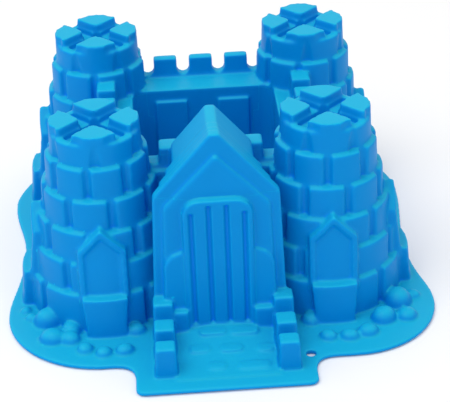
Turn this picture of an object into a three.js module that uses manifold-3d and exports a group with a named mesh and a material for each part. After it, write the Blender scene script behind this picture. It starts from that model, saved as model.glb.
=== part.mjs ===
// A castle-shaped sand mould: one soft silicone moulding that stands rim down, open underneath.
// Every mesh is one named region of the moulding. Neighbouring regions keep a hairline gap.
// Millimetres, +Z up. The origin is under the middle of the rim, on the ground, and -Y is the gate side.

import * as THREE from 'three';
import { mergeVertices } from 'three/addons/utils/BufferGeometryUtils.js';
import Module from 'manifold-3d';

const wasm = await Module();
wasm.setup();

// ---- driving dimensions ----

const WALL = 2;                 // thickness of the moulding
const GAP = 0.3;                // hairline between two regions
const RIM_THICKNESS = 3;
const BELOW = -2;               // how far a cutter reaches below the ground

const TOWER = {
  x: 68.5, y: 63.7, top: 124, course: 19.3, crownRadius: 27, step: 3.8, courses: 6, sides: 24,
};
const JOINT = { width: 3, depth: 1.2, crownBricks: 6, bricks: 8 };
const CROWN = { groove: 9, depth: 8.5, pitRadius: 8.5, pitDepth: 13 };
// A bay's face and block lean in as they rise: their reach from the tower's axis at two heights.
// Behind each bay the ledge over the tower's foot course stays whole and parts the bay's hollow in two.
const BAY = {
  halfWidth: 14.6, bottom: 20, shoulder: 55.9, apex: 70.8, frame: 3.6, sunk: 1.4,
  face: { z0: 0, r0: 50.5, z1: 90, r1: 39.5 },
  ledgeTop: 27.5, ledgeBottom: 25.3,
  blockHalf: 13.8, blockTop: 29.4, block: { z0: 0, r0: 53.8, z1: 30, r1: 51 },
};
const KEEP = { side: 69.5, rear: 74, front: 60, ledge: 85, crenel: 88, merlonTop: 99, levels: 4 };
const PARAPET = { side: 12.5, rear: 7, front: 13, blockFrom: 19, blockTo: 31.5 };
const SIDE_MERLONS = { half: 7, at: [-18, 5, 28] };
const REAR_MERLONS = { half: 7.9, at: [-23.9, 0, 23.6] };
const WELL = { x: 46.5, rear: 47.5, front: -46, floor: 20, corner: 9 };
const PANEL = { inner: 10.3, outer: 31, top: 77, bottom: 30, proud: 2.2 };
const GATE = {
  front: -112, lean: 3.8, apex: 134.6, pitch: 1.1, bandDrop: 1.4,
  gableFront: -115, gableBase: 34.2, gableHalf: 31.2, gableEave: 88.3, gableApex: 121.2,
};
// Roof bands that telescope towards the keep: where each starts, where it ends, and its half width.
// Each starts well inside the one in front of it, so that their hollows meet.
const BANDS = [[-112, -104.5, 36.8], [-109, -98.5, 31.6], [-103, -91, 26.2], [-95, -60, 20.4]];
const EAVE = GATE.apex - GATE.pitch * BANDS[0][2];
const DOOR = {
  front: -119.4, half: 20.4, top: 94.5, corner: 10, groove: 3, grooveDepth: 1.5, planks: [5.2, 15.5],
};
const SHOULDER = { front: -117.6, inner: 17, outer: 33.6, low: 50, high: 60.2 };
const FOOT = { front: -122.4, inner: 19.5, outer: 30.5, top: 14.5 };
const BRIDGE = {
  front: -159.5, back: -111, inner: 30, outer: 42, wall: 13, top: 22, deckTop: 4.4,
  merlons: [[-159.5, -148.5], [-141, -128.5], [-122.5, -111]],
};
const RIM = {
  tabHalf: 52.5, tabFront: -172.8, tabCorner: 5, fillet: 14, endX: 68, endY: 121.5, rearWaistY: 110,
};
// The two sides of the rim, soft and so not quite alike: the front lobe's centre and radius, the waist,
// and the widest point of the rear lobe, all measured from the middle plane.
const SIDES = {
  left: { front: [69.5, -84.5, 60], waist: [122.8, -16], rear: [132, 52] },
  right: { front: [78, -93.2, 54], waist: [124.3, -35], rear: [130.5, 46] },
};
const HOLE = { x: 50.3, y: -144.5, radius: 2.9 };

// The rim's box decides where the middle of the moulding is.
const MIDDLE_Y = (RIM.tabFront + RIM.endY) / 2;

// Boulders at the front right and rear right towers: x, y, radius. The left side mirrors them.
const FRONT_BOULDERS = [
  [51.5, -120, 9], [59.5, -132, 8], [72, -135.5, 7.5], [83.5, -131.5, 7.2], [92.5, -118, 9.5],
  [101, -112.5, 9.8], [110, -107, 8.2], [106, -98, 12.5], [116, -94, 7.4], [119.5, -85, 6.5],
];
const REAR_BOULDERS = [
  [111.5, 85, 8], [105, 93.5, 8.5], [96, 101.5, 8.5], [86.5, 108, 7],
];

// ---- materials ----

const silicone = (color) => new THREE.MeshStandardMaterial({ color, roughness: 0.42, metalness: 0 });
const BLUE = 0x0a8fd6;
const TOP_BLUE = 0x2bb0e0;
const DEEP_BLUE = 0x0a6fc8;

// ---- solids ----

// Turns a closed three.js geometry into a solid that can be joined and cut.
function solidOf(geometry) {
  geometry.deleteAttribute('normal');
  geometry.deleteAttribute('uv');
  const merged = mergeVertices(geometry, 1e-4);
  const corners = merged.index.array;
  const kept = [];
  for (let i = 0; i < corners.length; i += 3) {
    const [a, b, c] = [corners[i], corners[i + 1], corners[i + 2]];
    if (a !== b && b !== c && c !== a) kept.push(a, b, c);
  }
  return new wasm.Manifold(new wasm.Mesh({
    numProp: 3,
    vertProperties: merged.attributes.position.array,
    triVerts: new Uint32Array(kept),
  }));
}

function geometryOf(solid) {
  const mesh = solid.getMesh();
  const geometry = new THREE.BufferGeometry();
  geometry.setAttribute('position', new THREE.BufferAttribute(new Float32Array(mesh.vertProperties), 3));
  geometry.setIndex(new THREE.BufferAttribute(new Uint32Array(mesh.triVerts), 1));
  geometry.computeVertexNormals();
  return geometry;
}

const joined = (solids) => solids.reduce((sum, solid) => sum.add(solid));

function box(x0, x1, y0, y1, z0, z1, turn = 0, centre = [0, 0]) {
  const geometry = new THREE.BoxGeometry(x1 - x0, y1 - y0, z1 - z0);
  geometry.translate((x0 + x1) / 2, (y0 + y1) / 2, (z0 + z1) / 2);
  geometry.rotateZ(turn);
  geometry.translate(centre[0], centre[1], 0);
  return solidOf(geometry);
}

function disc(x, y, radius, z0, z1, sides) {
  return cone(x, y, { z0, r0: radius, z1, r1: radius }, 0, sides);
}

// A round post about an upright axis whose radius goes from r0 at height z0 to r1 at height z1.
function cone(x, y, { z0, r0, z1, r1 }, grow, sides) {
  const geometry = new THREE.CylinderGeometry(r1 + grow, r0 + grow, z1 - z0, sides);
  geometry.rotateX(Math.PI / 2);
  geometry.translate(x, y, (z0 + z1) / 2);
  return solidOf(geometry);
}

// An upright prism of a plan outline.
function planPrism(shape, z0, z1, curveSegments = 8) {
  const geometry = new THREE.ExtrudeGeometry(shape, { depth: z1 - z0, bevelEnabled: false, curveSegments });
  geometry.translate(0, 0, z0);
  return solidOf(geometry);
}

// A prism of a front-view outline (x to the right, height up) that runs from y0 back to y1.
function frontPrism(shape, y0, y1, curveSegments = 8) {
  const geometry = new THREE.ExtrudeGeometry(shape, { depth: y1 - y0, bevelEnabled: false, curveSegments });
  geometry.rotateX(Math.PI / 2);
  geometry.translate(0, y1, 0);
  return solidOf(geometry);
}

function outline(points) {
  const shape = new THREE.Shape();
  shape.moveTo(points[0][0], points[0][1]);
  points.slice(1).forEach(([x, y]) => shape.lineTo(x, y));
  shape.closePath();
  return shape;
}

// A house outline: straight sides that lean a little, under a pointed top.
function houseOutline(baseHalf, eaveHalf, bottom, eave, apex) {
  return outline([[-baseHalf, bottom], [baseHalf, bottom], [eaveHalf, eave], [0, apex], [-eaveHalf, eave]]);
}

function roundedRectangle(x0, x1, y0, y1, radius) {
  const shape = new THREE.Shape();
  shape.moveTo(x0 + radius, y0);
  shape.lineTo(x1 - radius, y0);
  shape.absarc(x1 - radius, y0 + radius, radius, -Math.PI / 2, 0);
  shape.lineTo(x1, y1 - radius);
  shape.absarc(x1 - radius, y1 - radius, radius, 0, Math.PI / 2);
  shape.lineTo(x0 + radius, y1);
  shape.absarc(x0 + radius, y1 - radius, radius, Math.PI / 2, Math.PI);
  shape.lineTo(x0, y0 + radius);
  shape.absarc(x0 + radius, y0 + radius, radius, Math.PI, 1.5 * Math.PI);
  return shape;
}

// ---- features ----
// Each takes "grow": 0 for the outside, -WALL for the hollow, and +GAP for what cuts a neighbour.

const floorOf = (grow) => (grow === 0 ? 0 : BELOW);

function towerBody(cx, cy, grow) {
  const profile = [new THREE.Vector2(0, floorOf(grow))];
  let foot = floorOf(grow);
  for (let course = TOWER.courses - 1; course >= 0; course -= 1) {
    const radius = TOWER.crownRadius + TOWER.step * course + grow;
    const top = TOWER.top - TOWER.course * course + grow;
    profile.push(new THREE.Vector2(radius, foot), new THREE.Vector2(radius, top));
    foot = top;
  }
  profile.push(new THREE.Vector2(0, TOWER.top + grow));
  const geometry = new THREE.LatheGeometry(profile, TOWER.sides);
  geometry.rotateX(Math.PI / 2);
  geometry.translate(cx, cy, 0);
  return solidOf(geometry);
}

// The diagonal cross of grooves and the pit that leave four merlons on a crown.
function crownCut(cx, cy, grow) {
  const half = CROWN.groove / 2 - grow;
  const bottom = TOWER.top - CROWN.depth + grow;
  const reach = TOWER.crownRadius + 4;
  const cuts = [Math.PI / 4, -Math.PI / 4].map(
    (turn) => box(-reach, reach, -half, half, bottom, TOWER.top + 4, turn, [cx, cy]),
  );
  const pitFloor = TOWER.top - CROWN.pitDepth + grow;
  cuts.push(disc(cx, cy, CROWN.pitRadius - grow, pitFloor, TOWER.top + 4, 16));
  return joined(cuts);
}

// Upright joints between the bricks. "shifts" gives the angle of the first joint from the gate side, in
// degrees, in the crown, in the odd courses and in the even courses.
function brickJoints(cx, cy, shifts) {
  const cuts = [];
  for (let course = 0; course < TOWER.courses; course += 1) {
    const bricks = course === 0 ? JOINT.crownBricks : JOINT.bricks;
    const shift = course === 0 ? shifts.crown : [shifts.even, shifts.odd][course % 2];
    const radius = TOWER.crownRadius + TOWER.step * course;
    const top = TOWER.top - TOWER.course * course;
    const foot = course === TOWER.courses - 1 ? RIM_THICKNESS : top - TOWER.course;
    for (let brick = 0; brick < bricks; brick += 1) {
      const turn = THREE.MathUtils.degToRad(shift - 90 + (brick * 360) / bricks);
      const half = JOINT.width / 2;
      cuts.push(box(radius - JOINT.depth, radius + 2, -half, half, foot, top + 1, turn, [cx, cy]));
    }
  }
  return joined(cuts);
}

const tower = (cx, cy, grow) => towerBody(cx, cy, grow).subtract(crownCut(cx, cy, grow));

// A pointed window panel over a rounded block, standing proud of a tower on the side that "turn" faces.
function bay(cx, cy, turn, grow) {
  const lift = grow * 1.2;
  const bottom = grow < 0 ? BAY.ledgeTop + GAP : BAY.bottom;
  const blockTop = grow < 0 ? BAY.ledgeBottom : BAY.blockTop + grow;
  const shape = houseOutline(
    BAY.halfWidth + grow, BAY.halfWidth + grow, bottom, BAY.shoulder + grow / 2, BAY.apex + lift,
  );
  const place = (solid) => {
    const spun = solid.rotate([0, 0, THREE.MathUtils.radToDeg(turn)]);
    return spun.translate([cx, cy, 0]);
  };
  const house = frontPrism(shape, -60, 0).intersect(cone(0, 0, BAY.face, grow, 48));
  const half = BAY.blockHalf + grow;
  const skirt = disc(0, 0, BAY.block.r0 + grow, BELOW - 1, 0, 48);
  const block = box(-half, half, -60, 0, floorOf(grow), blockTop)
    .intersect(cone(0, 0, BAY.block, grow, 48).add(skirt));
  const paneHalf = BAY.halfWidth - BAY.frame;
  const inside = houseOutline(paneHalf, paneHalf, BAY.bottom, BAY.shoulder - 1, BAY.apex - 1.4 * BAY.frame);
  const pocket = frontPrism(inside, -60, 0)
    .subtract(cone(0, 0, BAY.face, grow - BAY.sunk, 48))
    .subtract(box(-60, 60, -60, 60, -5, BAY.blockTop + GAP));
  return place(house.subtract(pocket).add(block));
}

// Walls of the keep: courses that step out downwards, with crenellated parapets on top.
function keep(grow) {
  const solids = [];
  for (let level = 0; level < KEEP.levels; level += 1) {
    const out = TOWER.step * (level + 1) + grow;
    const top = KEEP.ledge - TOWER.course * level + grow;
    const foot = level === KEEP.levels - 1 ? floorOf(grow) : top - TOWER.course - 1;
    solids.push(box(-KEEP.side - out, KEEP.side + out, -KEEP.front - out, KEEP.rear + out, foot, top));
  }
  const sunk = KEEP.ledge - 10;
  const bar = (x0, x1, y0, y1, top) => {
    solids.push(box(x0 - grow, x1 + grow, y0 - grow, y1 + grow, sunk, top + grow));
  };
  bar(-KEEP.side, KEEP.side, KEEP.rear - PARAPET.rear, KEEP.rear, KEEP.crenel);
  bar(-KEEP.side, KEEP.side, -KEEP.front, -KEEP.front + PARAPET.front, KEEP.crenel);
  for (const side of [-1, 1]) {
    const x0 = side < 0 ? -KEEP.side : KEEP.side - PARAPET.side;
    bar(x0, x0 + PARAPET.side, -KEEP.front, KEEP.rear, KEEP.crenel);
    for (const y of SIDE_MERLONS.at) {
      bar(x0, x0 + PARAPET.side, y - SIDE_MERLONS.half, y + SIDE_MERLONS.half, KEEP.merlonTop);
    }
    const block = [side * PARAPET.blockFrom, side * PARAPET.blockTo].sort((a, b) => a - b);
    bar(block[0], block[1], -KEEP.front, -KEEP.front + PARAPET.front, KEEP.merlonTop);
  }
  for (const x of REAR_MERLONS.at) {
    bar(x - REAR_MERLONS.half, x + REAR_MERLONS.half, KEEP.rear - PARAPET.rear, KEEP.rear, KEEP.merlonTop);
  }
  return joined(solids).subtract(well(-grow));
}

// The courtyard well as a solid, with the raised panels of its rear wall left out of it.
function well(grow) {
  const half = WELL.x + grow;
  const shape = roundedRectangle(-half, half, WELL.front - grow, WELL.rear + grow, WELL.corner);
  let solid = planPrism(shape, WELL.floor - grow, 120, 3);
  for (const side of [-1, 1]) {
    const x = side * (PANEL.inner + PANEL.outer) / 2;
    const width = (PANEL.outer - PANEL.inner) / 2 - grow;
    const face = WELL.rear - PANEL.proud + grow;
    solid = solid.subtract(box(x - width, x + width, face, face + 9, PANEL.bottom + grow, PANEL.top - grow));
  }
  return solid;
}

// The gatehouse narrows behind its front, band by band, so that it clears the towers.
function gatehouse(grow) {
  const solids = BANDS.map(([start, end, half], band) => {
    const apex = GATE.apex - band * GATE.bandDrop;
    const eave = apex - GATE.pitch * half + grow / 2;
    const shape = houseOutline(half + GATE.lean + grow, half + grow, floorOf(grow), eave, apex + grow * 1.5);
    const front = band === 0 ? start - grow : start;
    return frontPrism(shape, front, end + grow);
  });
  solids.push(frontPrism(
    houseOutline(GATE.gableBase + grow, GATE.gableHalf + grow, floorOf(grow), GATE.gableEave + grow / 2,
      GATE.gableApex + grow * 1.4),
    GATE.gableFront - grow, GATE.front + 5,
  ));
  for (const side of [-1, 1]) {
    const s = SHOULDER;
    const shoulder = outline([
      [side * (s.inner - grow), floorOf(grow)], [side * (s.outer + grow), floorOf(grow)],
      [side * (s.outer - 1 + grow), s.low + grow], [side * (s.outer - 2.4 + grow), s.low + 4 + grow],
      [side * (s.outer - 6), s.low + 7.6 + grow], [side * (s.inner + 4.5), s.high + grow],
      [side * (s.inner - grow), s.high + grow],
    ]);
    solids.push(frontPrism(shoulder, s.front - grow, GATE.front + 5));
    const [x0, x1] = [side * FOOT.inner, side * FOOT.outer].sort((a, b) => a - b);
    const back = GATE.front + 5;
    solids.push(box(x0 - grow, x1 + grow, FOOT.front - grow, back, floorOf(grow), FOOT.top + grow));
  }
  return joined(solids);
}

function door(grow) {
  const half = DOOR.half + grow;
  const top = DOOR.top + grow;
  const shape = new THREE.Shape();
  shape.moveTo(-half, floorOf(grow));
  shape.lineTo(half, floorOf(grow));
  shape.lineTo(half, top - DOOR.corner);
  shape.absarc(half - DOOR.corner, top - DOOR.corner, DOOR.corner, 0, Math.PI / 2);
  shape.absarc(-half + DOOR.corner, top - DOOR.corner, DOOR.corner, Math.PI / 2, Math.PI);
  let leaf = frontPrism(shape, DOOR.front - grow, GATE.front, 4);
  if (grow !== 0) return leaf;
  for (const edge of DOOR.planks) {
    const top = DOOR.top - (edge < DOOR.half - DOOR.corner ? 3.2 : 7.7);
    for (const x of [-edge, edge]) {
      const back = DOOR.front + DOOR.grooveDepth;
      leaf = leaf.subtract(box(x - DOOR.groove / 2, x + DOOR.groove / 2, DOOR.front - 1, back, -1, top));
    }
  }
  return leaf;
}

function bridgeParapet(side, grow) {
  const x = [side * BRIDGE.inner, side * BRIDGE.outer].sort((a, b) => a - b);
  const x0 = x[0] - grow;
  const x1 = x[1] + grow;
  const solids = [box(x0, x1, BRIDGE.front - grow, BRIDGE.back + grow, floorOf(grow), BRIDGE.wall + grow)];
  for (const [y0, y1] of BRIDGE.merlons) {
    solids.push(box(x0, x1, y0 - grow, y1 + grow, floorOf(grow), BRIDGE.top + grow));
  }
  return joined(solids);
}

// Filled boulders that lie on the rim.
function boulders(list, side) {
  const balls = list.map(([x, y, radius]) => {
    const geometry = new THREE.IcosahedronGeometry(radius, 1);
    geometry.translate(side * x, y, RIM_THICKNESS);
    return solidOf(geometry);
  });
  return joined(balls).intersect(box(-200, 200, -300, 300, RIM_THICKNESS + GAP, 60));
}

// The wavy rim: a lobe round each tower, shallow waists between them and a tab under the bridge.
function rimPlate() {
  const right = halfRim(SIDES.right);
  const left = halfRim(SIDES.left).reverse().slice(1, -1).map(([x, y]) => [-x, y]);
  return planPrism(outline([...right, ...left]), 0, RIM_THICKNESS);
}

// One side of the rim's outline, from the middle of the tab round to the middle of the rear.
function halfRim({ front, waist, rear }) {
  const r = RIM;
  const [frontX, frontY, radius] = front;
  const [waistX, waistY] = waist;
  const [rearX, rearY] = rear;
  const path = new THREE.Path();
  path.moveTo(0, r.tabFront);
  path.lineTo(r.tabHalf - r.tabCorner, r.tabFront);
  path.absarc(r.tabHalf - r.tabCorner, r.tabFront + r.tabCorner, r.tabCorner, -Math.PI / 2, 0);
  const lobeFront = frontY - radius;
  path.lineTo(r.tabHalf, lobeFront - r.fillet);
  path.quadraticCurveTo(r.tabHalf, lobeFront, r.tabHalf + r.fillet, lobeFront);
  path.lineTo(frontX, lobeFront);
  path.absarc(frontX, frontY, radius, -Math.PI / 2, 0);
  const side = frontX + radius;
  const run = waistY - frontY;
  path.bezierCurveTo(side, frontY + 0.3 * run, waistX, waistY - 0.55 * run, waistX, waistY);
  const rise = 0.4 * (rearY - waistY);
  path.bezierCurveTo(waistX, waistY + rise, rearX, rearY - rise, rearX, rearY);
  path.bezierCurveTo(rearX, rearY + 16, rearX - 21, r.endY, r.endX, r.endY);
  path.bezierCurveTo(r.endX - 26, r.endY, 26, r.rearWaistY, 0, r.rearWaistY);
  return path.getPoints(10).map(({ x, y }) => [x, y]);
}

// ---- the moulding, region by region ----

const QUARTER = Math.PI / 2;
const LEFT_BRICKS = { crown: 0, odd: -10.5, even: 13.3 };
const RIGHT_BRICKS = { crown: 30, odd: -4, even: 17.2 };
const TOWERS = [
  {
    name: 'front_left', x: -TOWER.x, y: -TOWER.y, bays: [['front', 0], ['side', -QUARTER]],
    shifts: LEFT_BRICKS, rocks: FRONT_BOULDERS, side: -1,
  },
  {
    name: 'front_right', x: TOWER.x, y: -TOWER.y, bays: [['front', 0], ['side', QUARTER]],
    shifts: RIGHT_BRICKS, rocks: FRONT_BOULDERS, side: 1,
  },
  {
    name: 'rear_left', x: -TOWER.x, y: TOWER.y, bays: [['rear', 2 * QUARTER], ['side', -QUARTER]],
    shifts: RIGHT_BRICKS, rocks: REAR_BOULDERS, side: -1,
  },
  {
    name: 'rear_right', x: TOWER.x, y: TOWER.y, bays: [['rear', 2 * QUARTER], ['side', QUARTER]],
    shifts: LEFT_BRICKS, rocks: REAR_BOULDERS, side: 1,
  },
];

const bays = TOWERS.flatMap((t) => t.bays.map(
  ([label, turn]) => ({ name: `window_bay_${t.name}_${label}`, t, turn }),
));

const hollow = joined([
  ...TOWERS.map((t) => tower(t.x, t.y, -WALL)),
  ...bays.map((b) => bay(b.t.x, b.t.y, b.turn, -WALL)),
  keep(-WALL),
  gatehouse(-WALL),
  door(-WALL),
  bridgeParapet(-1, -WALL),
  bridgeParapet(1, -WALL),
]);

const towerCutter = joined(TOWERS.map((t) => towerBody(t.x, t.y, GAP)));
const bayCutter = joined(bays.map((b) => bay(b.t.x, b.t.y, b.turn, GAP)));
const gateCutter = gatehouse(GAP);
const doorCutter = door(GAP);
const keepCutter = keep(GAP);
const parapetCutter = joined([bridgeParapet(-1, GAP), bridgeParapet(1, GAP)]);
const deckBox = (grow) => box(
  -BRIDGE.inner + GAP - grow, BRIDGE.inner - GAP + grow, BRIDGE.front - grow, FOOT.front - GAP + grow,
  floorOf(grow), BRIDGE.deckTop,
);

const castle = new THREE.Group();

// The cuts between regions can leave crumbs, so only the largest body is kept.
function largestBody(solid) {
  return solid.decompose().sort((a, b) => b.volume() - a.volume())[0];
}

function region(name, solid, color) {
  const body = largestBody(solid).translate([0, -MIDDLE_Y, 0]);
  const mesh = new THREE.Mesh(geometryOf(body), silicone(color));
  mesh.name = name;
  castle.add(mesh);
}

const crownFloor = TOWER.top - TOWER.course;
const plinthTop = TOWER.top - TOWER.course * 4;
const above = (z) => box(-200, 200, -300, 300, z, 300);
const wellCutter = well(WALL + GAP).subtract(above(KEEP.ledge + GAP));

for (const t of TOWERS) {
  const shell = tower(t.x, t.y, 0).subtract(brickJoints(t.x, t.y, t.shifts))
    .subtract(hollow).subtract(wellCutter);
  const upper = shell.subtract(above(crownFloor - GAP / 2)).intersect(above(plinthTop + GAP / 2));
  region(`tower_base_${t.name}`, shell.subtract(above(plinthTop - GAP / 2)), BLUE);
  region(`tower_${t.name}`, upper, BLUE);
  region(`crown_${t.name}`, shell.intersect(above(crownFloor + GAP / 2)), TOP_BLUE);
}
for (const b of bays) {
  const proud = bay(b.t.x, b.t.y, b.turn, 0).subtract(towerBody(b.t.x, b.t.y, GAP));
  region(b.name, proud.subtract(hollow), BLUE);
}

const gateShell = gatehouse(0).subtract(hollow).subtract(towerCutter).subtract(bayCutter);
region('gatehouse_walls', gateShell.subtract(above(EAVE - GAP / 2)), BLUE);
region('gatehouse_roof', gateShell.intersect(above(EAVE + GAP / 2)), TOP_BLUE);
region('gate_door', door(0).subtract(gateCutter).subtract(hollow), BLUE);

const wellLining = well(WALL).subtract(well(0)).subtract(above(KEEP.ledge));
region('courtyard_well', wellLining.subtract(gateCutter), DEEP_BLUE);

const keepShell = keep(0).subtract(hollow).subtract(well(WALL + GAP))
  .subtract(towerCutter).subtract(bayCutter).subtract(gateCutter).subtract(doorCutter);
const cut = WELL.x + WALL + GAP;
const rearCut = WELL.rear + WALL + GAP;
const frontCut = WELL.front - WALL - GAP;
region('rear_wall', keepShell.intersect(box(-120, 120, rearCut, 150, BELOW, 150)), BLUE);
region('left_wall', keepShell.intersect(box(-120, -cut, frontCut + GAP, rearCut - GAP, BELOW, 150)), BLUE);
region('right_wall', keepShell.intersect(box(cut, 120, frontCut + GAP, rearCut - GAP, BELOW, 150)), BLUE);
region('front_wall_left', keepShell.intersect(box(-120, -0.2, -150, frontCut, BELOW, 150)), BLUE);
region('front_wall_right', keepShell.intersect(box(0.2, 120, -150, frontCut, BELOW, 150)), BLUE);

for (const [name, side] of [['bridge_parapet_left', -1], ['bridge_parapet_right', 1]]) {
  const wall = bridgeParapet(side, 0).subtract(hollow)
    .subtract(gateCutter).subtract(towerCutter).subtract(bayCutter);
  region(name, wall, TOP_BLUE);
}
region('bridge_deck', deckBox(0).subtract(gateCutter).subtract(doorCutter), TOP_BLUE);

for (const t of TOWERS) {
  const rocks = boulders(t.rocks, t.side).subtract(towerCutter).subtract(bayCutter)
    .subtract(keepCutter).subtract(gateCutter).subtract(parapetCutter);
  region(`boulders_${t.name}`, rocks, TOP_BLUE);
}

const rim = rimPlate().subtract(disc(HOLE.x, HOLE.y, HOLE.radius, BELOW, 20, 20))
  .subtract(towerCutter).subtract(bayCutter).subtract(keepCutter).subtract(gateCutter).subtract(doorCutter)
  .subtract(parapetCutter).subtract(deckBox(GAP)).subtract(hollow);
region('rim_flange', rim, TOP_BLUE);

export default castle;
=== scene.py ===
"""A soft castle sand mould that stands rim down: towers, keep, gatehouse, bridge, boulders and rim.

The moulding is worked on the bench in millimetres, with X across, Y towards the rear and Z up, and
its origin midway between the four tower axes. The outside is built up from lumps, fused and softened,
and hollowed from below. It is then parted into its named pieces, which are brought to metres.
"""

import logging
import math
from dataclasses import dataclass
from enum import Enum
from typing import Iterable, Sequence

import bpy
from mathutils import Matrix, Vector

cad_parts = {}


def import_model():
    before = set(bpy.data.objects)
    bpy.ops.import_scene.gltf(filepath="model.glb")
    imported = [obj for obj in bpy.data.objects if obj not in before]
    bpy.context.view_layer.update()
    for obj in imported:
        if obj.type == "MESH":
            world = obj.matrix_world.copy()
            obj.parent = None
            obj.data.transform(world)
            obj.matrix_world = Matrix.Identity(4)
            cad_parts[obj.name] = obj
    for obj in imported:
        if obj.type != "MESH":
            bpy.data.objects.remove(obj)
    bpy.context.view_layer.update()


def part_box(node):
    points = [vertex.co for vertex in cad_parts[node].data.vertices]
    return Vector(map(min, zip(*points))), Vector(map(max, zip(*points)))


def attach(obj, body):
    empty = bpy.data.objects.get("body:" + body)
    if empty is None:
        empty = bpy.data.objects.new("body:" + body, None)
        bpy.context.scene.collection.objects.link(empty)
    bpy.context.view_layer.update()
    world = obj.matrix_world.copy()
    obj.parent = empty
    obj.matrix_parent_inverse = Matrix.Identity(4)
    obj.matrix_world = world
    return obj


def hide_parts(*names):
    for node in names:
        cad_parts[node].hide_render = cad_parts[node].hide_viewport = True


LOG = logging.getLogger("castle_mould")
MILLIMETRE = 0.001
BELOW = -2.0

Outline = Sequence[tuple[float, float]]


class Op(Enum):
    """How one solid works on another."""

    ADD = "UNION"
    CUT = "DIFFERENCE"
    KEEP = "INTERSECT"


class Facing(Enum):
    """The side that a window bay looks to, as a turn about Z from the gate side, in degrees."""

    FRONT = 0.0
    RIGHT = 90.0
    REAR = 180.0
    LEFT = -90.0


# ---------------------------------------------------------------- bench tools


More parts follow.
